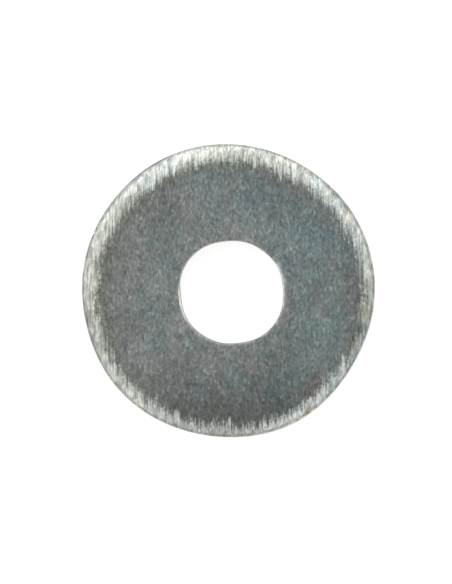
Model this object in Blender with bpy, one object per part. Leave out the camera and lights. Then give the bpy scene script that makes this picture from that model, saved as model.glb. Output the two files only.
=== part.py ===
"""A large flat washer for a 6 mm bolt: one disc of zinc-plated steel sheet, pierced and blanked in a press.

Metres, +Z up, +Y along the direction in which the sheet was rolled. The origin is the middle of the
outline, on the underside. The face that went into the blanking die is up, so its outer edge is drawn
down in a wide soft roll. The hole was pierced first and from the other side, a little off the disc's axis.
"""

import math

import bmesh
import bpy

# Driving dimensions
OUTER_DIAMETER = 0.018
HOLE_DIAMETER = 0.0064
THICKNESS = 0.0016
HOLE_CENTRE = (0.00023, -0.00007)
DISC_CENTRE = (0.0, 0.0)

# The outer edge, from the top face down: roll, straight burnished land, broken-out taper, tumbled corner
OUTER_ROLL_WIDTH = 0.00125
OUTER_ROLL_DEPTH = 0.00036
OUTER_LAND_HEIGHT = 0.0006
OUTER_BREAK = 0.00005
CORNER = 0.00004

# The hole's wall, from the underside up: roll, straight burnished land, broken-out taper, tumbled corner
HOLE_ROLL_WIDTH = 0.00016
HOLE_ROLL_DEPTH = 0.00012
HOLE_LAND_HEIGHT = 0.0007
HOLE_BREAK = 0.00003

# Facets
TURN_STEPS = 96
OUTER_ROLL_STEPS = 9
HOLE_ROLL_STEPS = 3

# Finish: dull zinc plate
ZINC_COLOUR = (0.42, 0.45, 0.44, 1.0)
ZINC_ROUGHNESS = 0.38
ZINC_METALLIC = 1.0


def clear_scene():
    """Removes whatever the scene holds."""
    for item in list(bpy.data.objects):
        bpy.data.objects.remove(item, do_unlink=True)


def zinc_material():
    """Plated steel: a dull blue-grey metal."""
    material = bpy.data.materials.new("zinc_plate")
    material.use_nodes = True
    shader = material.node_tree.nodes["Principled BSDF"]
    shader.inputs["Base Color"].default_value = ZINC_COLOUR
    shader.inputs["Roughness"].default_value = ZINC_ROUGHNESS
    shader.inputs["Metallic"].default_value = ZINC_METALLIC
    return material


def quarter_ellipse(width, depth, steps):
    """Points of a rolled edge as (run outwards, drop), from where the flat ends to where the wall starts."""
    turns = [0.5 * math.pi * step / steps for step in range(steps + 1)]
    return [(width * math.sin(turn), depth * (1.0 - math.cos(turn))) for turn in turns]


def outer_rings():
    """Rings (centre, radius, height) from the outer end of the top face, down the edge, to the underside."""
    radius = 0.5 * OUTER_DIAMETER
    flat_radius = radius - OUTER_ROLL_WIDTH
    rings = [
        (DISC_CENTRE, flat_radius + run, THICKNESS - drop)
        for run, drop in quarter_ellipse(OUTER_ROLL_WIDTH, OUTER_ROLL_DEPTH, OUTER_ROLL_STEPS)
    ]
    rings.append((DISC_CENTRE, radius, THICKNESS - OUTER_ROLL_DEPTH - OUTER_LAND_HEIGHT))
    rings.append((DISC_CENTRE, radius - OUTER_BREAK, CORNER))
    rings.append((DISC_CENTRE, radius - OUTER_BREAK - CORNER, 0.0))
    return rings


def hole_rings():
    """Rings (centre, radius, height) from the inner end of the underside, up the bore, to the top face."""
    radius = 0.5 * HOLE_DIAMETER
    flat_radius = radius + HOLE_ROLL_WIDTH
    rings = [
        (HOLE_CENTRE, flat_radius - run, drop)
        for run, drop in quarter_ellipse(HOLE_ROLL_WIDTH, HOLE_ROLL_DEPTH, HOLE_ROLL_STEPS)
    ]
    rings.append((HOLE_CENTRE, radius, HOLE_ROLL_DEPTH + HOLE_LAND_HEIGHT))
    rings.append((HOLE_CENTRE, radius + HOLE_BREAK, THICKNESS - CORNER))
    rings.append((HOLE_CENTRE, radius + HOLE_BREAK + CORNER, THICKNESS))
    return rings


def add_ring(mesh, centre, radius, height):
    """One circle of vertices, anticlockwise from +X."""
    turns = [2.0 * math.pi * step / TURN_STEPS for step in range(TURN_STEPS)]
    return [
        mesh.verts.new((centre[0] + radius * math.cos(turn), centre[1] + radius * math.sin(turn), height))
        for turn in turns
    ]


def add_band(mesh, ring, following):
    """The strip of quads between a ring and the next one round the section."""
    for step in range(TURN_STEPS):
        after = (step + 1) % TURN_STEPS
        mesh.faces.new((ring[step], following[step], following[after], ring[after]))


def make_washer():
    """The disc as one closed skin: its rings run outwards, down, inwards and up again, and meet."""
    mesh = bmesh.new()
    rings = [add_ring(mesh, *ring) for ring in outer_rings() + hole_rings()]
    for ring, following in zip(rings, rings[1:] + rings[:1]):
        add_band(mesh, ring, following)
    data = bpy.data.meshes.new("washer")
    mesh.to_mesh(data)
    mesh.free()
    data.materials.append(zinc_material())
    data.shade_smooth()
    data.set_sharp_from_angle(angle=math.radians(35))
    washer = bpy.data.objects.new("washer", data)
    bpy.context.scene.collection.objects.link(washer)
    return washer


clear_scene()
make_washer()
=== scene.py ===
# %% [markdown]
# # A zinc-plated flat washer
# A flat washer is the plainest part in the toolbox: one disc of steel sheet with a hole. Nearly all of its
# character is in how it was made. The sheet was rolled, which leaves a fine grain that runs one way. A press
# pierced the hole and punched out the disc, which draws the outer edge down in a soft roll and shears the
# walls. Last came a thin zinc plate, dull on the flat face and bright on the roll, where the colour is partly
# rubbed plate and partly a painted reflection of the bright studio.
#
# The imported model gives the true size and place of the disc. Everything below is measured from it.

# %% Load the imported model
import math

import bpy
import numpy as np
from mathutils import Matrix, Vector


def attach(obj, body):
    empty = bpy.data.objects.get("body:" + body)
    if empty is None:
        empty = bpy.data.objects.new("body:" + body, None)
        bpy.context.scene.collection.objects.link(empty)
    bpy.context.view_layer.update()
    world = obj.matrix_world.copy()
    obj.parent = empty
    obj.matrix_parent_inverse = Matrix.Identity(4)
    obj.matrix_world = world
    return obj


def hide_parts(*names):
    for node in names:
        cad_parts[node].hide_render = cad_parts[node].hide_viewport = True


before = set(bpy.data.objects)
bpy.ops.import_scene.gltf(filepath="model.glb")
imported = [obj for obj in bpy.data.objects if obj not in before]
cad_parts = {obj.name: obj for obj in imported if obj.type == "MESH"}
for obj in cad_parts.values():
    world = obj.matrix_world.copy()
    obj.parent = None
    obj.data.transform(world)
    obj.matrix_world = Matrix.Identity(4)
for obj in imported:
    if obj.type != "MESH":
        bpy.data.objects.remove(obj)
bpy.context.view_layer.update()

MM = 0.001

# %% [markdown]
# ## Measure the disc
# The fine surface has to lie exactly where the plain one does, so its driving sizes are read from the packed
# mesh instead of being typed again. The vertices fall into two families, those round the hole and those round
# the outline. The flat face between them has none, so half the outer radius parts the two.

# %% Read the outline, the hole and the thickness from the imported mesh


def vertices_mm(item):
    """All vertices of an object as an array of rows (x, y, z), in millimetres."""
    flat = np.empty(3 * len(item.data.vertices), np.float32)
    item.data.vertices.foreach_get("co", flat)
    return flat.reshape(-1, 3).astype(float) / MM


disc = vertices_mm(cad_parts["washer"])
OUTER_RADIUS = 0.5 * np.ptp(disc[:, 0])
THICKNESS = disc[:, 2].max()
around_hole = disc[np.hypot(disc[:, 0], disc[:, 1]) < 0.5 * OUTER_RADIUS]
HOLE_CENTRE = 0.5 * (around_hole.min(axis=0) + around_hole.max(axis=0))[:2]
HOLE_RADIUS = np.hypot(*(around_hole[:, :2] - HOLE_CENTRE).T).min()
DISC_CENTRE = np.zeros(2)
print(f"outer radius {OUTER_RADIUS:.3f}, hole radius {HOLE_RADIUS:.3f}, thickness {THICKNESS:.3f} mm")
print("hole centre:", HOLE_CENTRE.round(3), "mm")

# %% [markdown]
# ## Smooth random fields
# Metal that has been rolled, pressed and tumbled is never quite regular. A smooth random field is the tool
# for that: random numbers on the corners of a square lattice, blended across each square. Stretching the
# coordinates before looking up the field turns round blotches into long streaks. The seed is fixed, so the
# washer comes out the same each time.

# %% A smooth random field on a lattice
LATTICE = 64
LAYERS = 8
SEED = 7
corner_values = np.random.default_rng(SEED).uniform(-1.0, 1.0, (LAYERS, LATTICE, LATTICE))


def smooth_field(across, along, layer):
    """Random heights from -1 to 1 at lattice corners, blended with the curve 3t^2 - 2t^3 in each square."""
    column, row = np.floor(across).astype(int), np.floor(along).astype(int)
    u, v = across - column, along - row
    u, v = u * u * (3 - 2 * u), v * v * (3 - 2 * v)
    values = corner_values[layer]
    left, right = column % LATTICE, (column + 1) % LATTICE
    low, high = row % LATTICE, (row + 1) % LATTICE
    lower = values[left, low] * (1 - u) + values[right, low] * u
    upper = values[left, high] * (1 - u) + values[right, high] * u
    return lower * (1 - v) + upper * v


sample = smooth_field(np.linspace(0.0, 9.0, 200), np.linspace(0.0, 5.0, 200), 0)
print(f"field from {sample.min():.2f} to {sample.max():.2f}")

# %% [markdown]
# ## Shapes round the rim
# Some features sit at one place of the rim: the corner is worn thicker over one stretch, where its colour is
# also darkened as painted shade, and the hole's lip is rounder at two places, which are painted brighter as a
# reflection and a highlight. A peak and a stretch, each a small curve of the turn, say where. A sum of
# cosines does the rest, because a punched blank springs out of the die slightly lobed instead of perfectly
# round.

# %% Curves of the turn round the axis
TURN_STEPS = 960
turns = np.linspace(0.0, 2.0 * np.pi, TURN_STEPS, endpoint=False)


def degrees_past(turn, place):
    """How far a turn is past a place on the rim, from -180 to 180 degrees."""
    return (np.degrees(turn) - place + 180.0) % 360.0 - 180.0


def peak(turn, place, half_width):
    """A soft peak at one place: exp(-(d / half width)^2), with d the distance from the place in degrees."""
    return np.exp(-((degrees_past(turn, place) / half_width) ** 2))


def stretch_between(turn, first, last, first_soft, last_soft):
    """1 between two places and 0 elsewhere: a rising and a falling tanh curve, multiplied."""
    rising = 0.5 + 0.5 * np.tanh(degrees_past(turn, first) / first_soft)
    falling = 0.5 - 0.5 * np.tanh(degrees_past(turn, last) / last_soft)
    return rising * falling


def lobes(turn, parts):
    """The sum of height cos(count (turn - first)) over parts of (count, height in mm, first in degrees)."""
    return sum(height * np.cos(count * (turn - math.radians(first))) for count, height, first in parts)


OUTLINE_LOBES = [
    (2, 0.013, 81),
    (3, 0.018, 15),
    (4, 0.033, 25),
    (5, 0.029, 13),
    (6, 0.017, -9),
    (8, 0.007, -13),
]
HOLE_LOBES = [
    (1, 0.033, 208),
    (2, 0.041, -22),
    (3, 0.007, 56),
    (4, 0.036, -43),
    (6, 0.012, 24),
    (8, 0.013, -17),
]
HOLE_SLACK = 0.010
LEFT_LIP_IN = 0.05
outline = OUTER_RADIUS + lobes(turns, OUTLINE_LOBES)
left_lip = stretch_between(turns, 176, 214, 4.0, 9.0)
right_lip = stretch_between(turns, -22, 32, 8.0, 4.0)
hole_outline = HOLE_RADIUS + HOLE_SLACK + lobes(turns, HOLE_LOBES) - LEFT_LIP_IN * left_lip
print(f"outline {outline.min():.3f} to {outline.max():.3f} mm")
print(f"hole {hole_outline.min():.3f} to {hole_outline.max():.3f} mm")

# %% [markdown]
# ## The section
# Cut the disc along a radius and the cut has the same outline nearly everywhere: flat top, soft roll, small
# corner, straight burnished wall, rougher broken wall that leans in, flat underside. The hole's wall has the
# same zones upside down. A press rolls over the edge of a hole where the punch goes in, here the underside,
# and the edge of the disc on the face that lies on the die. The sizes of those zones are named here, and the
# few that change round the rim are arrays with one value per turn.

# %% Sizes of the section, in millimetres
ROLL_DEPTH = 0.24
CORNER_DEPTH = 0.10
LAND_HEIGHT = 0.6
BREAK_LEAN = 0.05
FOOT_CORNER = 0.04
HOLE_ROLL_WIDTH, HOLE_ROLL_DEPTH = 0.16, 0.12
HOLE_LAND_HEIGHT = 0.7
HOLE_BREAK_LEAN = 0.03
LIP_DEPTH = 0.06
ROLL_WIDTH, ROLL_SWAY, ROLL_WIDEST = 1.25, 0.10, math.radians(130)
CORNER_WIDTH, CORNER_RAGGED, CORNER_WORN = 0.120, 0.020, 0.075
LIP_WIDTH, RIGHT_LIP_WIDER, LEFT_LIP_WIDER = 0.05, 0.05, 0.02


def round_field(squares, layer):
    """The smooth field read along a circle that is so many squares long, so it closes on itself."""
    reach = squares / (2.0 * np.pi)
    return smooth_field(reach * (1.0 + np.cos(turns)), reach * (1.0 + np.sin(turns)), layer)


roll_width = ROLL_WIDTH + ROLL_SWAY * np.cos(turns - ROLL_WIDEST)
worn_and_shaded_corner = 0.6 * stretch_between(turns, 112, 156, 5.0, 1.5) + 0.5 * peak(turns, 119, 9)
worn_and_shaded_corner += 0.5 * peak(turns, 296, 13) + 0.4 * peak(turns, 36, 12)
corner_width = CORNER_WIDTH + CORNER_RAGGED * round_field(48, 7) + CORNER_WORN * worn_and_shaded_corner
corner_depth = CORNER_DEPTH * (1.0 + 0.6 * worn_and_shaded_corner)
lip_width = LIP_WIDTH + RIGHT_LIP_WIDER * right_lip + LEFT_LIP_WIDER * left_lip
print(f"corner {corner_width.min():.3f} to {corner_width.max():.3f} mm, lip up to {lip_width.max():.3f} mm")

# %% The fall of the roll


def roll_fall(from_edge):
    """Depth at a distance e from the outline: roll depth (1 - e / roll width)^3 + a quarter ellipse."""
    along_roll = np.clip(1.0 - from_edge / roll_width, 0.0, 1.0)
    along_corner = np.clip(1.0 - from_edge / corner_width, 0.0, 1.0)
    return ROLL_DEPTH * along_roll**3 + corner_depth * (1.0 - np.sqrt(1.0 - along_corner**2))


print(f"deepest fall {roll_fall(0 * turns).max():.3f} mm")

# %% [markdown]
# ## The skin as one grid
# Every point of the skin has two parameters, its turn round the axis and its place along the section, so the
# whole washer is one grid that closes on itself both ways, like a ring doughnut. Rows of the grid are rings.
# The rings near the hole are centred on the hole and the outer ones on the disc, and the two flat faces
# blend from one to the other.

# %% Rings of points


def column(values):
    """A list of ring values as a column, so that it spreads over all turns."""
    return np.asarray(values, float)[:, None]


def ring_rows(centre, radius, height):
    """Rows of points (x, y, z): centre + radius (cos turn, sin turn) at each height, one row per ring."""
    radius, height = np.broadcast_arrays(np.atleast_2d(radius), np.atleast_2d(height))
    return np.stack([centre[0] + radius * np.cos(turns), centre[1] + radius * np.sin(turns), height], axis=-1)


def rows_between(first, last, count):
    """Rows between two rings: first + share (last - first), for evenly spaced shares, ends left out."""
    shares = np.linspace(0.0, 1.0, count + 2)[1:-1, None, None]
    return first + shares * (last - first)


WALL_RINGS = 6
ROLL_RINGS = 20
TOP_RINGS, UNDER_RINGS = 26, 8
down = column(np.linspace(0.0, 1.0, WALL_RINGS + 1)[1:])
quarter = column(np.linspace(0.0, 0.5 * np.pi, WALL_RINGS + 1))
print(f"{WALL_RINGS} rings to each wall zone, {ROLL_RINGS} to the roll")

# %% The outer edge: roll, corner, burnished land, broken wall, foot
along_roll = column(np.linspace(0.0, 1.0, ROLL_RINGS))
roll_from_edge = roll_width - along_roll * (roll_width - corner_width)
corner_from_edge = corner_width * (1.0 - np.sin(quarter[1:]))
from_edge = np.concatenate([roll_from_edge, corner_from_edge])
edge_rings = ring_rows(DISC_CENTRE, outline - from_edge, THICKNESS - roll_fall(from_edge))

land_top = THICKNESS - roll_fall(0 * turns)
LAND_SWING, LAND_RAGGED = 0.17, 0.05
land_share = 1.0 + LAND_SWING * round_field(32, 0) + LAND_RAGGED * round_field(320, 3)
land_foot = land_top - LAND_HEIGHT * land_share
land_rings = ring_rows(DISC_CENTRE, outline, land_top + down * (land_foot - land_top))
break_height = land_foot + down * (FOOT_CORNER - land_foot)
break_rings = ring_rows(DISC_CENTRE, outline - down * BREAK_LEAN, break_height)
foot_ring = ring_rows(DISC_CENTRE, outline - BREAK_LEAN - FOOT_CORNER, 0 * turns)
print("rings of the edge:", len(edge_rings) + len(land_rings) + len(break_rings) + len(foot_ring))

# %% The wall of the hole, from the underside up: roll, burnished land, broken wall, rounded lip
hole_roll_radius = hole_outline + HOLE_ROLL_WIDTH * (1.0 - np.sin(quarter))
hole_roll_rings = ring_rows(HOLE_CENTRE, hole_roll_radius, HOLE_ROLL_DEPTH * (1.0 - np.cos(quarter)))
hole_land_share = 1.0 + LAND_SWING * round_field(20, 1) + LAND_RAGGED * round_field(120, 4)
hole_break_foot = HOLE_ROLL_DEPTH + HOLE_LAND_HEIGHT * hole_land_share
hole_land_height = HOLE_ROLL_DEPTH + down * (hole_break_foot - HOLE_ROLL_DEPTH)
hole_land_rings = ring_rows(HOLE_CENTRE, hole_outline, hole_land_height)
hole_break_height = hole_break_foot + down * (THICKNESS - LIP_DEPTH - hole_break_foot)
hole_break_rings = ring_rows(HOLE_CENTRE, hole_outline + down * HOLE_BREAK_LEAN, hole_break_height)
lip_radius = hole_outline + HOLE_BREAK_LEAN + lip_width * (1.0 - np.cos(quarter[1:]))
lip_rings = ring_rows(HOLE_CENTRE, lip_radius, THICKNESS - LIP_DEPTH * (1.0 - np.sin(quarter[1:])))
hole_stretches = (hole_roll_rings, hole_land_rings, hole_break_rings, lip_rings)
print("rings of the hole:", sum(len(rows) for rows in hole_stretches))

# %% All rings in order, from the lip of the hole outwards and round
stretches = {
    "top": rows_between(lip_rings[-1], edge_rings[0], TOP_RINGS),
    "edge": edge_rings,
    "land": land_rings,
    "break": break_rings,
    "foot": foot_ring,
    "under": rows_between(foot_ring[-1], hole_roll_rings[0], UNDER_RINGS),
    "hole_roll": hole_roll_rings,
    "hole_land": hole_land_rings,
    "hole_break": hole_break_rings,
    "lip": lip_rings,
}
skin = np.concatenate(list(stretches.values()))
zone_of_ring = np.concatenate([[name] * len(rows) for name, rows in stretches.items()])


def in_zones(*names):
    """1 for each ring in the named zones and 0 for the others, as a column."""
    return column(np.isin(zone_of_ring, names))


print("rings:", len(skin), "points:", skin.shape[0] * skin.shape[1])

# %% [markdown]
# ## Small unevenness
# Real faces are a little wavy, the roll carries the streaks of the sheet, the burnished land has fine upright
# tool lines and the broken wall is torn like cast crumbs. Each point moves along the surface's own normal, so
# one function serves flat and upright zones alike. The moves are hundredths of a millimetre.

# %% Normals of the grid and the moves along them


def grid_normals(points):
    """Cross product of the step along the section and the step round the axis, made one long."""
    along = np.roll(points, -1, axis=0) - np.roll(points, 1, axis=0)
    around = np.roll(points, -1, axis=1) - np.roll(points, 1, axis=1)
    normal = np.cross(along, around)
    return normal / np.linalg.norm(normal, axis=-1, keepdims=True)


x, y, z = np.moveaxis(skin, -1, 0)
arc = OUTER_RADIUS * np.broadcast_to(turns, x.shape)
roll_swell = in_zones("edge").astype(float)
roll_swell[zone_of_ring == "edge", 0] = np.sin(np.pi * np.linspace(0.0, 1.0, len(edge_rings)))

waves = 0.004 * smooth_field(x / 2.1 + 9.3, y / 2.9 + 4.1, 2) * in_zones("top", "edge", "under")
streaks_on_roll = 0.004 * smooth_field(x / 0.2, y / 1.1, 3) + 0.008 * smooth_field(x / 0.9, y / 1.6, 6)
tool_lines = 0.003 * smooth_field(arc / 0.1, z / 2.0, 4) * in_zones("land", "hole_land")
crumbs = 0.014 * smooth_field(arc / 0.14, z / 0.16, 5) * in_zones("break", "hole_break")
move = waves + streaks_on_roll * roll_swell + tool_lines + crumbs
skin = skin + grid_normals(skin) * move[..., None]
print(f"moves from {move.min():.4f} to {move.max():.4f} mm")

# %% Two small knocks, and the limits of the sheet


def dent(points, place, half_size, depth):
    """Depth below the surface round one place: depth exp(-(dx / half length)^2 - (dy / half width)^2)."""
    offset = (points[..., :2] - np.array(place)) / np.array(half_size)
    return depth * np.exp(-(offset**2).sum(axis=-1))


knocks = dent(skin, (2.14, -8.17), (0.07, 0.28), 0.03) + dent(skin, (-8.25, 3.66), (0.12, 0.12), 0.05)
skin[..., 2] -= knocks * in_zones("top", "edge")
skin[..., 2] = np.clip(skin[..., 2], 0.0, THICKNESS)
print(f"deepest knock {knocks.max():.3f} mm")

# %% [markdown]
# ## Into a mesh
# Neighbouring rings and neighbouring turns make the quads. Rolling the index array by one row or one column
# gives each quad's other corners, and because the roll wraps round, the last ring meets the first and the
# seam closes by itself.

# %% Put the grid into a mesh


def closed_grid_mesh(name, points):
    """Quads between neighbouring rings and turns; both directions close on themselves."""
    index = np.arange(points.shape[0] * points.shape[1]).reshape(points.shape[:2])
    next_ring, next_turn = np.roll(index, -1, axis=0), np.roll(index, -1, axis=1)
    across = np.roll(next_ring, -1, axis=1)
    quads = np.stack([index, next_ring, across, next_turn], axis=-1).reshape(-1, 4)
    data = bpy.data.meshes.new(name)
    data.from_pydata((points.reshape(-1, 3) * MM).tolist(), [], quads.tolist())
    data.shade_smooth()
    return data


def vertex_numbers(data, name, values):
    """Stores one number per vertex, which a material can read by name."""
    attribute = data.attributes.new(name, "FLOAT", "POINT")
    attribute.data.foreach_set("value", np.broadcast_to(values, skin.shape[:2]).astype(np.float32).ravel())


mesh = closed_grid_mesh("washer_skin", skin)
washer = bpy.data.objects.new("washer_skin", mesh)
bpy.context.scene.collection.objects.link(washer)
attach(washer, "root")
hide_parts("washer")
print("quads:", len(mesh.polygons))

# %% [markdown]
# ## Numbers that the material reads
# A material can read a number that the mesh stores for each vertex, and that is how it learns where it is on
# the washer: how far from the outline, how near the corner or the hole, on a burnished or on a broken wall,
# and at which places of the rim the roll is brighter, as rubbed plate and as painted reflection, or looks
# cooler. The hole's lip gets painted light as well: a painted reflection on its left stretch, a painted
# highlight beside its right stretch and a brighter painted ring all round it.

# %% Numbers for the material
# Painted reflection as well as rubbing: each place makes the bright roll brighter or duller there.
RUB_AND_SHEEN_PLACES = [  # degrees, half width in degrees, how much brighter or duller the rubbed roll is there
    (301, 15, 0.32),
    (115, 16, 0.20),
    (58, 14, 0.08),
    (228, 14, 0.14),
    (25, 14, 0.12),
    (343, 16, -0.13),
    (268, 14, -0.18),
    (195, 12, -0.08),
    (160, 6, -0.08),
]
COOL_PLACES = [  # degrees, half width in degrees, share of cool against warm zinc on the roll
    (312, 30, 0.65),
    (124, 9, 0.40),
    (45, 34, 0.30),
    (252, 18, 0.30),
    (350, 7, -0.50),
    (182, 20, -0.30),
]


def places_sum(turn_angles, places):
    """Sum of amount times a peak, over a list of places on the rim."""
    return sum(amount * peak(turn_angles, centre, half) for centre, half, amount in places)


FAR = 9.0
CORNER_REACH = 2.1
LIP_HIGHLIGHT_REACH, RIGHT_LIP_HIGHLIGHT_REACH = 0.28, 0.17
edge_distance = np.full(skin.shape[:2], FAR)
edge_distance[zone_of_ring == "edge"] = from_edge
top_rows = zone_of_ring == "top"
edge_distance[top_rows] = outline - np.hypot(x[top_rows], y[top_rows])
edge_distance[np.isin(zone_of_ring, ["land", "break"])] = 0.0
vertex_numbers(mesh, "from_edge", edge_distance)
corner_share = np.clip(1.0 - edge_distance / (CORNER_REACH * corner_width), 0.0, 1.0)
vertex_numbers(mesh, "corner", corner_share * (1.0 + 0.4 * worn_and_shaded_corner))
# Painted reflection: on the left stretch the hole's lip and broken wall take the bright roll colour.
lip_share = in_zones("lip", "hole_break") * left_lip
lip_share[np.flatnonzero(zone_of_ring == "lip")[-1]] = 0.0
from_hole = np.hypot(x - HOLE_CENTRE[0], y - HOLE_CENTRE[1]) - hole_outline
# Painted highlight: the face beside the right stretch of the hole's lip takes the bright roll colour.
right_lip_highlight = np.exp(-((from_hole / RIGHT_LIP_HIGHLIGHT_REACH) ** 2)) * in_zones("top", "lip") * right_lip
vertex_numbers(mesh, "lip", np.maximum(lip_share, right_lip_highlight))
# Painted highlight: a brighter ring on the face round the hole's lip.
vertex_numbers(mesh, "hole_glow", np.exp(-((from_hole / LIP_HIGHLIGHT_REACH) ** 2)) * in_zones("top", "lip"))
# Painted light on the hole's lip: extra brightness for the reflection on its left and the highlight on its
# right.
hole_lip_painted_light = in_zones("lip", "hole_break") * left_lip * 0.4 + right_lip_highlight * 0.3
vertex_numbers(mesh, "rub", 1.0 + places_sum(turns, RUB_AND_SHEEN_PLACES) + hole_lip_painted_light)
vertex_numbers(mesh, "cool", places_sum(turns, COOL_PLACES))
torn_left = in_zones("hole_land") * left_lip
vertex_numbers(mesh, "land", in_zones("land", "hole_land") - torn_left)
vertex_numbers(mesh, "broken", in_zones("break") + in_zones("hole_break") * (1.0 - left_lip) + torn_left)
print("numbers on the mesh:", [item.name for item in mesh.attributes if item.name.islower()])

# %% [markdown]
# ## Clouds and a painted highlight on the plate
# The face is brighter and darker in soft patches at the scale of a millimetre or two. The largest patches
# have their own places, and a random field adds the rest. The brightest patch, beside the hole's lip at the
# lower left, is a painted highlight. Their sum is one more number per vertex, a brightness round 1. The
# places of a cooler teal and of a warmer grey make another.

# %% Brightness of the plate
CLOUDS_AND_LIP_HIGHLIGHT = [  # x, y, half size across x, half size across y, brightness
    (-3.8, 5.5, 1.1, 1.4, -0.16),
    (-4.3, 3.6, 0.8, 1.0, -0.10),
    (-1.7, 6.3, 1.0, 1.2, 0.11),
    (2.6, 6.3, 1.4, 0.9, -0.12),
    (7.4, 1.0, 0.9, 1.4, -0.10),
    (1.4, 3.9, 1.2, 0.7, 0.12),
    (3.9, 2.5, 1.0, 1.3, 0.10),
    (5.8, -1.8, 1.3, 0.9, 0.14),
    (3.2, -3.7, 0.9, 0.8, -0.11),
    # painted highlight beside the hole's lip
    (-2.9, -1.9, 0.7, 0.8, 0.20),
    (-4.3, 0.1, 0.6, 1.1, 0.17),
    (-5.8, -4.2, 1.1, 0.9, 0.13),
    (-7.1, 1.4, 0.8, 1.1, -0.08),
    (-0.6, -4.4, 1.6, 0.7, 0.07),
    (6.2, -3.7, 1.1, 1.1, 0.09),
]


def clouds(points):
    """1 + the sum of brightness exp(-(dx / half size)^2 - (dy / half size)^2) + a small random field."""
    total = 1.0 + 0.045 * smooth_field(points[..., 0] / 0.9 + 3.0, points[..., 1] / 1.2 + 8.0, 2)
    for *place, half_x, half_y, brightness in CLOUDS_AND_LIP_HIGHLIGHT:
        total = total + dent(points, place, (half_x, half_y), brightness)
    return total


brightness = clouds(skin)
vertex_numbers(mesh, "clouds", brightness)
print(f"clouds from {brightness.min():.2f} to {brightness.max():.2f}")

# %% Teal and warm places of the plate
TEAL_PLACES = [  # x, y, half size across x, half size across y, more teal or, below 0, warmer
    (5.0, 2.6, 1.3, 1.7, 0.40),
    (5.4, -2.4, 1.1, 1.4, 0.30),
    (3.0, -6.0, 0.9, 0.8, 0.30),
    (1.3, 5.5, 1.2, 1.0, 0.25),
    (-4.7, 0.2, 0.9, 1.6, 0.35),
    (-4.6, -2.9, 1.3, 0.8, 0.30),
    (-1.2, -4.2, 1.6, 0.8, -0.20),
    (-0.8, -6.8, 2.2, 0.8, -0.35),
    (-5.6, 4.6, 1.4, 1.4, -0.25),
    (6.9, -0.9, 0.5, 0.9, -0.25),
]
bloom = sum(dent(skin, place, (half_x, half_y), amount) for *place, half_x, half_y, amount in TEAL_PLACES)
vertex_numbers(mesh, "teal", bloom)
print(f"bloom from {bloom.min():.2f} to {bloom.max():.2f}")

# %% [markdown]
# ## A short way to write node trees
# A material's node tree is an expression: noise, times a number, plus a number, between two colours.
# Blender's node calls are long, so this small class lets the tree be written as the expression it is. An
# input that is another node's output becomes a link, and an input that is a plain value is set.

# %% Node helper


class Graph:
    """Adds nodes to a tree. An input is a socket, which is linked, or a value, which is set."""

    def __init__(self, tree):
        self.tree = tree

    def fill(self, node, inputs):
        """Links or sets each named or numbered input of a node."""
        for key, value in inputs.items():
            if isinstance(value, bpy.types.NodeSocket):
                self.tree.links.new(value, node.inputs[key])
            else:
                node.inputs[key].default_value = value
        return node

    def add(self, kind, inputs=None, **settings):
        """One node with its settings and inputs."""
        node = self.tree.nodes.new(kind)
        for name, value in settings.items():
            setattr(node, name, value)
        return self.fill(node, inputs or {})

    def group(self, name, inputs):
        """Places a node group in the tree."""
        return self.fill(self.add("ShaderNodeGroup", node_tree=bpy.data.node_groups[name]), inputs)

    def math(self, operation, a, b=0.0):
        """One Math node's result."""
        return self.add("ShaderNodeMath", {0: a, 1: b}, operation=operation).outputs[0]

    def total(self, first, *others):
        """The sum of all values."""
        for other in others:
            first = self.math("ADD", first, other)
        return first

    def product(self, first, *others):
        """The product of all values."""
        for other in others:
            first = self.math("MULTIPLY", first, other)
        return first

    def swing(self, value, amount):
        """A noise value round one half, as a move round zero: amount (value - 1/2)."""
        return self.math("MULTIPLY", self.math("SUBTRACT", value, 0.5), amount)

    def rise(self, value, low, high, bottom=0.0, top=1.0):
        """A smooth step: bottom below low, top above high."""
        inputs = {"Value": value, "From Min": low, "From Max": high, "To Min": bottom, "To Max": top}
        return self.add("ShaderNodeMapRange", inputs, interpolation_type="SMOOTHSTEP").outputs["Result"]

    def blend(self, share, first, second, kind="MIX"):
        """A colour between two colours, or their product where the kind is MULTIPLY."""
        inputs = {"Factor": share, 6: first, 7: second}
        return self.add("ShaderNodeMix", inputs, data_type="RGBA", blend_type=kind).outputs[2]

    def attribute(self, name):
        """A number that the mesh stores for each vertex."""
        return self.add("ShaderNodeAttribute", attribute_name=name).outputs["Fac"]


def new_group(name, inputs, outputs):
    """A shader node group with named sockets: its graph, the sockets that it is given and its output node."""
    tree = bpy.data.node_groups.new(name, "ShaderNodeTree")
    for direction, sockets in (("INPUT", inputs), ("OUTPUT", outputs)):
        for label, kind in sockets.items():
            tree.interface.new_socket(label, in_out=direction, socket_type="NodeSocket" + kind)
    given = tree.nodes.new("NodeGroupInput").outputs
    return Graph(tree), given, tree.nodes.new("NodeGroupOutput")


# %% [markdown]
# ## Three effects as node groups
# The rolling direction shows in every finish of the washer, so its streaks are a group of their own: noise
# whose coordinates are divided by a width and a length. The second group tells where a point of the disc is,
# in millimetres and as a turn. The third is a soft oval mark at a given place, for stains and scuffs.

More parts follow.
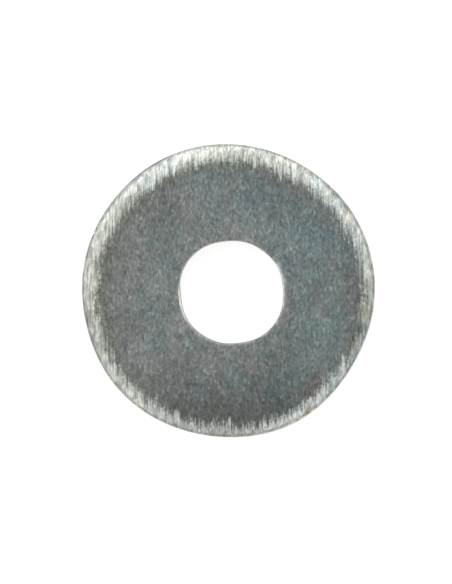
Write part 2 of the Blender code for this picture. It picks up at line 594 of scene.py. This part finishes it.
# %% Streaks along the rolling direction
graph, given, made = new_group(
    "rolled_streaks",
    {"Vector": "Vector", "Width": "Float", "Length": "Float", "Shift": "Float", "Detail": "Float"},
    {"Value": "Float"},
)
sizes = graph.add("ShaderNodeCombineXYZ", {"X": given["Width"], "Y": given["Length"], "Z": given["Width"]})
squeezed = graph.add("ShaderNodeVectorMath", {0: given["Vector"], 1: sizes.outputs[0]}, operation="DIVIDE")
shift = graph.add("ShaderNodeCombineXYZ", {"X": given["Shift"], "Y": given["Shift"], "Z": given["Shift"]})
moved = graph.add("ShaderNodeVectorMath", {0: squeezed.outputs[0], 1: shift.outputs[0]}, operation="ADD")
noise_inputs = {"Vector": moved.outputs[0], "Scale": 1.0, "Detail": given["Detail"], "Roughness": 0.5}
noise = graph.add("ShaderNodeTexNoise", noise_inputs)
graph.fill(made, {"Value": noise.outputs[0]})

# %% Where a point of the disc is
graph, given, made = new_group(
    "disc_places",
    {"Object": "Vector"},
    {"Millimetres": "Vector", "Radius": "Float", "Turn": "Float"},
)
to_millimetres = {0: given["Object"], "Scale": 1.0 / MM}
scaled = graph.add("ShaderNodeVectorMath", to_millimetres, operation="SCALE").outputs[0]
across, along, up = graph.add("ShaderNodeSeparateXYZ", {0: scaled}).outputs
radius = graph.math("SQRT", graph.total(graph.product(across, across), graph.product(along, along)))
graph.fill(made, {"Millimetres": scaled, "Radius": radius, "Turn": graph.math("ARCTAN2", along, across)})

# %% A soft oval mark
graph, given, made = new_group(
    "oval_mark",
    {
        "Millimetres": "Vector",
        "Place": "Vector",
        "Half Length": "Float",
        "Half Width": "Float",
        "Lean": "Float",
    },
    {"Value": "Float"},
)
offset = graph.add("ShaderNodeVectorMath", {0: given["Millimetres"], 1: given["Place"]}, operation="SUBTRACT")
spin = {"Vector": offset.outputs[0], "Angle": graph.product(given["Lean"], -1.0)}
turned = graph.add("ShaderNodeVectorRotate", spin, rotation_type="Z_AXIS").outputs[0]
across, along, up = graph.add("ShaderNodeSeparateXYZ", {0: turned}).outputs
across = graph.math("DIVIDE", across, given["Half Length"])
along = graph.math("DIVIDE", along, given["Half Width"])
reach = graph.math("SQRT", graph.total(graph.product(across, across), graph.product(along, along)))
graph.fill(made, {"Value": graph.rise(reach, 0.3, 1.3, 1.0, 0.0)})
print("node groups:", [group.name for group in bpy.data.node_groups])

# %% [markdown]
# ## The zinc plate: the dull face
# Zinc that has been passivated reads as a grey metal with a faint teal bloom, stronger on one side and in
# patches. Over it lies a fine, slightly long grain from the rolled sheet, with brighter flecks, which matters
# more than the colour: without it the face looks like plastic. All the finish is one material, because it is
# one plated skin, and masks lead from one look to the next.

# %% Start the material and its places
material = bpy.data.materials.new("zinc_plate")
material.use_nodes = True
graph = Graph(material.node_tree)
shader = material.node_tree.nodes["Principled BSDF"]
object_place = graph.add("ShaderNodeTexCoord").outputs["Object"]
places = graph.group("disc_places", {"Object": object_place}).outputs
mm, radius, turn = places
across, along, up = graph.add("ShaderNodeSeparateXYZ", {0: mm}).outputs
from_edge_socket = graph.attribute("from_edge")
land = graph.attribute("land")
broken = graph.attribute("broken")


def streaks(width, length, shift, detail=1.0, vector=mm):
    """Streaks of a width and a length in millimetres."""
    inputs = {"Vector": vector, "Width": width, "Length": length, "Shift": shift, "Detail": detail}
    return graph.group("rolled_streaks", inputs).outputs["Value"]


def facing(degrees):
    """Cosine of the turn from a place on the rim: 1 there and -1 opposite."""
    return graph.math("COSINE", graph.math("SUBTRACT", turn, math.radians(degrees)))


# %% Teal and warm zinc
TEAL_ZINC = (0.280, 0.350, 0.350, 1.0)
WARM_ZINC = (0.328, 0.340, 0.328, 1.0)
wide_patches = graph.product(streaks(1.1, 1.7, 41.0, 2.0), 0.65)
small_patches = graph.product(streaks(0.4, 0.55, 29.0), 0.35)
patches = graph.math("ADD", wide_patches, small_patches)
side_drift = graph.total(graph.product(across, 0.05), graph.product(along, 0.015))
near_rim = graph.rise(from_edge_socket, 0.9, 2.2, 0.5, 0.0)
teal_share = graph.total(side_drift, graph.attribute("teal"), graph.swing(patches, 3.2), 0.46)
teal_share = graph.math("SUBTRACT", teal_share, near_rim)
teal_share = graph.add("ShaderNodeClamp", {0: teal_share}).outputs[0]
face = graph.blend(teal_share, WARM_ZINC, TEAL_ZINC)

# %% Grain, flecks, painted shade and a painted highlight round the hole on the face
fine = streaks(0.14, 0.22, 3.0, 2.0)
middle = streaks(0.45, 0.7, 17.0)
long_grain = streaks(0.13, 0.8, 11.0)
flecks = graph.rise(streaks(0.15, 0.30, 57.0), 0.52, 0.76, 0.0, 0.5)
GRAIN_MIDDLE = 0.86
grain = graph.total(GRAIN_MIDDLE, graph.swing(fine, 1.15), graph.swing(long_grain, 0.25))
grain = graph.total(grain, graph.swing(middle, 0.45), flecks)
# Painted shade: the low side of the face and a ring near the rim are darkened.
low_side_shade = graph.product(graph.rise(facing(272), 0.66, 1.0), graph.rise(radius, 3.8, 7.2))
outer_ring_shade = graph.rise(from_edge_socket, 0.9, 2.6, 0.08, 0.0)
shade = graph.total(1.0, graph.product(low_side_shade, -0.28), graph.product(outer_ring_shade, -1.0))
# Painted highlight: the face round the hole's lip is made brighter and warmer.
LIP_HIGHLIGHT_GAIN, LIP_HIGHLIGHT_TINT = 0.16, (1.05, 0.99, 0.97, 1.0)
lip_highlight = graph.attribute("hole_glow")
lip_highlight_level = graph.total(1.0, graph.product(lip_highlight, LIP_HIGHLIGHT_GAIN))
face_level = graph.product(grain, shade, graph.attribute("clouds"), lip_highlight_level)
face = graph.blend(lip_highlight, face, graph.blend(1.0, face, LIP_HIGHLIGHT_TINT, "MULTIPLY"))
face = graph.blend(1.0, face, face_level, "MULTIPLY")
print("nodes so far:", len(material.node_tree.nodes))

# %% [markdown]
# ## The zinc plate: the bright roll, rubbed plate and painted reflection
# The roll is where a washer rubs on its neighbours in the barrel. Its colour is made nearly white, partly as
# scuffed plate and partly as a painted reflection of the bright studio that the leaning roll mirrors. The
# border with the dull face is ragged and follows the streaks of the sheet, and the longest teeth carry a
# painted highlight. So the border is a distance from the outline that swings with long streaks, which gives
# teeth where the streaks run across the rim and long parallel lines where they run along it.

# %% The ragged border of the bright roll
BORDER_MIDDLE, BORDER_SWAY, BORDER_NARROWER = 0.90, 0.19, -0.2
stripes = graph.rise(streaks(0.10, 2.2, 31.0), 0.36, 0.62)
teeth = graph.total(graph.swing(streaks(0.26, 1.5, 23.0), 0.55), graph.swing(stripes, 0.26))
teeth = graph.total(teeth, graph.swing(streaks(0.10, 0.18, 63.0), 0.8))
teeth = graph.total(teeth, graph.swing(streaks(0.35, 0.5, 27.0), 0.45))
# Each long tooth reaches further in and also carries a painted highlight.
LONG_TEETH = [  # x, y, half length, how much further in the roll is rubbed there
    (1.65, 8.05, 0.65, 0.60),
    (3.25, 7.45, 0.85, 0.95),
    (4.08, 7.25, 0.75, 0.80),
    (-3.28, 7.40, 0.60, 0.50),
    (-4.55, 6.70, 0.70, 0.60),
    (0.15, -7.95, 0.45, 0.60),
    (7.05, -4.60, 0.80, 0.50),
]
TOOTH_HALF_WIDTH = 0.10
TOOTH_HIGHLIGHT = 0.4


def oval(place, half_length, half_width, lean):
    """The soft oval mark at a place (x, y) of the upper face, with its lean in degrees."""
    mark_inputs = {
        "Millimetres": mm,
        "Place": (*place, THICKNESS),
        "Half Length": half_length,
        "Half Width": half_width,
        "Lean": math.radians(lean),
    }
    return graph.group("oval_mark", mark_inputs).outputs["Value"]


tooth_highlight = 1.0
for *place, half_length, further_in in LONG_TEETH:
    tooth = oval(place, half_length, TOOTH_HALF_WIDTH, 90)
    teeth = graph.total(teeth, graph.product(tooth, further_in))
    tooth_highlight = graph.total(tooth_highlight, graph.product(tooth, TOOTH_HIGHLIGHT * further_in))
narrow_side = graph.rise(facing(346), 0.90, 1.0, 0.0, BORDER_NARROWER)
border = graph.total(BORDER_MIDDLE, graph.product(facing(118), BORDER_SWAY), narrow_side, teeth)
inner = graph.math("SUBTRACT", from_edge_socket, border)
# Painted reflection and rubbed plate: this mask lays the nearly white roll colour on the roll and on the
# hole's lip.
rubbed_and_sheen = graph.math("MAXIMUM", graph.rise(inner, -0.42, 0.24, 1.0, 0.0), graph.attribute("lip"))

# %% The colour of the bright roll: rubbed plate and painted reflection
RUBBED_AND_SHEEN_WARM = (0.88, 0.90, 0.81, 1.0)
RUBBED_AND_SHEEN_COOL = (0.82, 0.90, 0.88, 1.0)
cool_share = graph.total(0.22, graph.attribute("cool"), graph.swing(streaks(0.8, 1.2, 71.0), 2.4))
cool_share = graph.add("ShaderNodeClamp", {0: cool_share}).outputs[0]
rim = graph.blend(cool_share, RUBBED_AND_SHEEN_WARM, RUBBED_AND_SHEEN_COOL)
fine_lines = graph.rise(streaks(0.08, 0.6, 37.0), 0.36, 0.60, 0.76, 1.0)
hatch = graph.product(graph.rise(stripes, 0.0, 0.6, 0.74, 1.0), fine_lines)
dull_streaks = graph.rise(streaks(0.3, 1.1, 43.0), 0.36, 0.56, 0.78, 1.0)
blotches = graph.rise(streaks(0.32, 0.5, 77.0, 2.0), 0.36, 0.58, 0.76, 1.0)
corner = graph.attribute("corner")
ragged_corner = graph.total(corner, graph.swing(streaks(0.12, 0.5, 91.0), 0.9))
# Painted shade: the outer corner of the roll is darkened, most over the stretch where the corner is wider.
corner_painted_shade = graph.rise(corner, 1.0, 1.2, 1.0, 0.5)
corner_shade_level = graph.product(graph.rise(ragged_corner, 0.15, 0.65, 1.0, 0.68), corner_painted_shade)
rim_level = graph.product(hatch, dull_streaks, corner_shade_level, graph.total(1.0, graph.swing(fine, 0.7)))
# Painted reflection and highlight: brightness by place round the rim and on the long teeth.
rim_level = graph.product(rim_level, blotches, graph.attribute("rub"), tooth_highlight)
rim = graph.blend(1.0, rim, rim_level, "MULTIPLY")

# %% The face just inside the border: painted shade, a little darker and more so on one side
OLIVE_SHADE = (0.87, 0.88, 0.79, 1.0)
painted_hem_shade = graph.product(graph.rise(inner, 0.0, 0.9, 1.0, 0.0), graph.rise(facing(150), -0.3, 0.8, 0.25, 1.0))
face = graph.blend(painted_hem_shade, face, graph.blend(1.0, face, OLIVE_SHADE, "MULTIPLY"))
colour = graph.blend(rubbed_and_sheen, face, rim)

# %% [markdown]
# ## The zinc plate: stains, scuffs and two painted glints
# A few marks have their own place: a brown spot where the plate was broken at the edge, olive and violet
# blooms of the passivation, a dark scratch over the roll, and two bright dots that are painted glints, one on
# a pit and one on the knock at the left edge. Each is the same oval group with its own place, size and lean,
# and each multiplies the colour under it.

# %% Marks with their own place
BROWN = (0.70, 0.58, 0.49, 1.0)
OLIVE = (0.87, 0.88, 0.78, 1.0)
VIOLET = (1.01, 0.96, 1.02, 1.0)
PINK = (1.10, 0.98, 0.97, 1.0)
BLUE = (0.94, 0.99, 1.04, 1.0)
GREY = (0.74, 0.73, 0.70, 1.0)
COOL_LIGHT = (1.14, 1.22, 1.22, 1.0)
DARK = (0.55, 0.55, 0.53, 1.0)
# Painted glint: bright dots multiplied into the colour on a pit and on the knock at the left edge.
PAINTED_GLINT = (1.9, 1.9, 1.95, 1.0)
MARKS = [  # x, y, half length, half width, lean in degrees, colour
    (4.94, -7.33, 0.40, 0.22, 43, BROWN),
    (2.14, -8.17, 0.30, 0.045, 90, DARK),
    (7.64, -0.74, 0.09, 0.09, 0, PAINTED_GLINT),
    (-8.22, 3.55, 0.10, 0.07, 60, PAINTED_GLINT),
    (-7.97, 0.46, 0.32, 0.20, 90, OLIVE),
    (-8.38, -1.55, 0.45, 0.20, 95, OLIVE),
    (-7.95, -3.40, 0.35, 0.18, 110, OLIVE),
    (8.38, -1.10, 0.60, 0.28, 83, OLIVE),
    (8.12, -2.30, 0.50, 0.26, 72, GREY),
    (7.72, -2.95, 0.55, 0.20, 68, GREY),
    (-0.56, 8.50, 0.40, 0.10, 90, GREY),
    (7.93, 1.79, 0.10, 0.08, 90, DARK),
    (8.76, 0.65, 0.60, 0.07, 88, COOL_LIGHT),
    (-8.24, -1.30, 1.15, 0.08, 95, COOL_LIGHT),
    (-8.43, 1.25, 0.35, 0.09, 88, COOL_LIGHT),
    (-1.70, -8.10, 0.22, 0.07, 90, COOL_LIGHT),
    (-8.45, 2.30, 0.50, 0.16, 75, GREY),
    (-2.34, -6.45, 0.50, 0.30, 0, VIOLET),
    (-1.11, 6.38, 0.30, 0.20, 20, PINK),
    (5.33, -6.20, 0.50, 0.30, 40, PINK),
    (6.07, 3.43, 0.60, 0.40, 60, BLUE),
    (4.70, 3.25, 0.40, 0.50, 0, BLUE),
    (0.98, 5.73, 0.50, 0.30, 0, BLUE),
]
for *place, half_length, half_width, lean, tint in MARKS:
    mark = oval(place, half_length, half_width, lean)
    colour = graph.blend(mark, colour, graph.blend(1.0, colour, tint, "MULTIPLY"))
print("marks:", len(MARKS))

# %% [markdown]
# ## The zinc plate: the sheared walls
# The punch leaves two looks on every sheared wall. The land slid along the tool, so it is bright with fine
# upright lines. The broken wall tore, so it is rough, darker and crumbly. The mesh says which is which.

# %% Colours of the walls
LAND_ZINC = (0.54, 0.55, 0.52, 1.0)
BROKEN_ZINC = (0.28, 0.29, 0.28, 1.0)
wall_inputs = {"X": graph.product(turn, OUTER_RADIUS), "Y": up}
wall_place = graph.add("ShaderNodeCombineXYZ", wall_inputs).outputs[0]
upright_lines = streaks(0.07, 2.5, 5.0, 2.0, wall_place)
crumb_noise = streaks(0.24, 0.24, 8.0, 4.0)
land_colour = graph.blend(1.0, LAND_ZINC, graph.total(1.0, graph.swing(upright_lines, 1.2)), "MULTIPLY")
broken_colour = graph.blend(1.0, BROKEN_ZINC, graph.total(1.0, graph.swing(crumb_noise, 1.6)), "MULTIPLY")
colour = graph.blend(land, colour, land_colour)
colour = graph.blend(broken, colour, broken_colour)
graph.fill(shader, {"Base Color": colour})

# %% [markdown]
# ## The zinc plate: gloss and relief
# The dull face and the broken wall scatter light, and the rubbed roll scatters it most of all, since scuffed
# zinc is half way to a white powder: that is a lower metallic value. The grain has a depth of a few
# thousandths of a millimetre on the face, and the streaks of the roll are several times deeper.

# %% Roughness, metallic and bump
ROUGHNESS = 0.35
RELIEF_DEPTH = 0.004
roughness = graph.total(ROUGHNESS, graph.product(broken, 0.2), graph.product(rubbed_and_sheen, 0.03))
graph.fill(shader, {"Roughness": roughness})
graph.fill(shader, {"Metallic": graph.total(1.0, graph.product(rubbed_and_sheen, -0.2))})
roll_relief = graph.product(rubbed_and_sheen, graph.total(streaks(0.12, 1.3, 83.0), graph.product(fine, 0.4)), 5.0)
relief = graph.total(fine, long_grain, roll_relief)
bump = graph.add("ShaderNodeBump", {"Height": relief, "Distance": RELIEF_DEPTH * MM, "Strength": 1.0})
graph.fill(shader, {"Normal": bump.outputs["Normal"]})
washer.data.materials.append(material)
print("nodes in the material:", len(material.node_tree.nodes))

# %% [markdown]
# ## The floor
# The washer lies on a white light table. A plain pale surface that also gives off some light of its own keeps
# the ground pure white and the contact shadow faint, as on a catalogue sheet.

# %% A pale floor
FLOOR_HALF = 0.3
FLOOR_GAP = 0.02 * MM
FLOOR_GLOW = 0.75
corner_signs = np.array([(-1, -1, 0), (1, -1, 0), (1, 1, 0), (-1, 1, 0)], float)
floor_mesh = bpy.data.meshes.new("floor")
floor_mesh.from_pydata((FLOOR_HALF * corner_signs).tolist(), [], [(0, 1, 2, 3)])
floor = bpy.data.objects.new("floor", floor_mesh)
bpy.context.scene.collection.objects.link(floor)
floor_material = bpy.data.materials.new("pale_floor")
floor_material.use_nodes = True
floor_shader = floor_material.node_tree.nodes["Principled BSDF"]
floor_shader.inputs["Base Color"].default_value = (0.5, 0.5, 0.5, 1.0)
floor_shader.inputs["Roughness"].default_value = 1.0
floor_shader.inputs["Emission Color"].default_value = (1.0, 1.0, 0.99, 1.0)
floor_shader.inputs["Emission Strength"].default_value = FLOOR_GLOW
floor_mesh.materials.append(floor_material)
floor.location.z = -FLOOR_GAP
print("floor:", [round(side, 2) for side in floor.dimensions], "m")

# %% [markdown]
# ## The light
# Metal shows what it reflects, so the light here is a picture of a studio: a tent of soft white all round,
# brightest high on one side, with a dark patch straight overhead where the camera stands. The flat face
# reflects the dark patch and reads mid grey. The roll leans away from it and reflects the bright tent.

# %% A studio in the world shader
world = bpy.data.worlds.new("studio")
bpy.context.scene.world = world
world.use_nodes = True
world.node_tree.nodes.clear()
graph = Graph(world.node_tree)
direction = graph.add("ShaderNodeTexCoord").outputs["Generated"]


def toward(turn_degrees, height_degrees):
    """How nearly the ray points to a direction, given as a turn and a height: 1 is dead on."""
    turn_angle, height_angle = math.radians(turn_degrees), math.radians(height_degrees)
    level_part = math.cos(height_angle)
    aim = (level_part * math.cos(turn_angle), level_part * math.sin(turn_angle), math.sin(height_angle))
    return graph.add("ShaderNodeVectorMath", {0: direction, 1: aim}, operation="DOT_PRODUCT").outputs["Value"]


HORIZON, TENT, KEY, FILL, OVERHEAD = 0.52, 0.60, 0.84, 0.14, 0.23
key = graph.rise(toward(104, 35), 0.2, 0.95, 0.0, KEY)
fill = graph.rise(toward(300, 45), 0.8, 1.0, 0.0, FILL)
second_fill = graph.rise(toward(222, 45), 0.7, 1.0, 0.0, FILL)
tent = graph.total(TENT - HORIZON, key, fill, second_fill)
height_share = graph.rise(toward(0, 90), 0.0, 0.55)
around = graph.total(HORIZON, graph.product(height_share, tent))
from_overhead = graph.math("ARCCOSINE", toward(299, 84))
open_share = graph.rise(from_overhead, math.radians(8), math.radians(24))
level = graph.total(OVERHEAD, graph.product(open_share, graph.total(around, -OVERHEAD)))
BACKDROP = 1.2
seen = graph.add("ShaderNodeLightPath").outputs["Is Camera Ray"]
level = graph.total(level, graph.product(seen, graph.total(BACKDROP, graph.product(level, -1.0))))
background = graph.add("ShaderNodeBackground", {"Color": (1.0, 1.0, 1.0, 1.0), "Strength": level})
graph.add("ShaderNodeOutputWorld", {"Surface": background.outputs[0]})
print("world:", world.name)

# %% [markdown]
# ## The camera
# The washer is seen from straight above through a long lens, a degree or two off its axis, so a sliver of the
# hole's wall shows on one side. The distance follows from the share of the picture that the disc fills.

# %% A long lens straight above
FRAME_WIDTH, FRAME_HEIGHT = 452, 584
LENS, SENSOR = 200.0, 36.0
DISC_SHARE = 0.6488
TILT, TILT_TOWARD = math.radians(2.4), math.radians(20)
AIM = Vector((-0.111, -0.068, 1.2))
picture_width = 2.0 * OUTER_RADIUS / DISC_SHARE
distance = float(LENS / SENSOR * picture_width * FRAME_HEIGHT / FRAME_WIDTH)
side = math.sin(TILT)
backward = Vector((side * math.cos(TILT_TOWARD), side * math.sin(TILT_TOWARD), math.cos(TILT)))
right = Vector((0.0, 1.0, 0.0)).cross(backward).normalized()
camera_data = bpy.data.cameras.new("camera")
camera_data.lens = LENS
camera_data.sensor_width = SENSOR
camera_data.clip_start = 0.01
camera_data.clip_end = 2.0
camera = bpy.data.objects.new("camera", camera_data)
bpy.context.scene.collection.objects.link(camera)
camera.location = MM * (AIM + distance * backward)
camera.rotation_euler = Matrix((right, backward.cross(right), backward)).transposed().to_euler()
bpy.context.scene.camera = camera
bpy.context.scene.view_settings.view_transform = "Standard"
print(f"camera {distance:.0f} mm away")
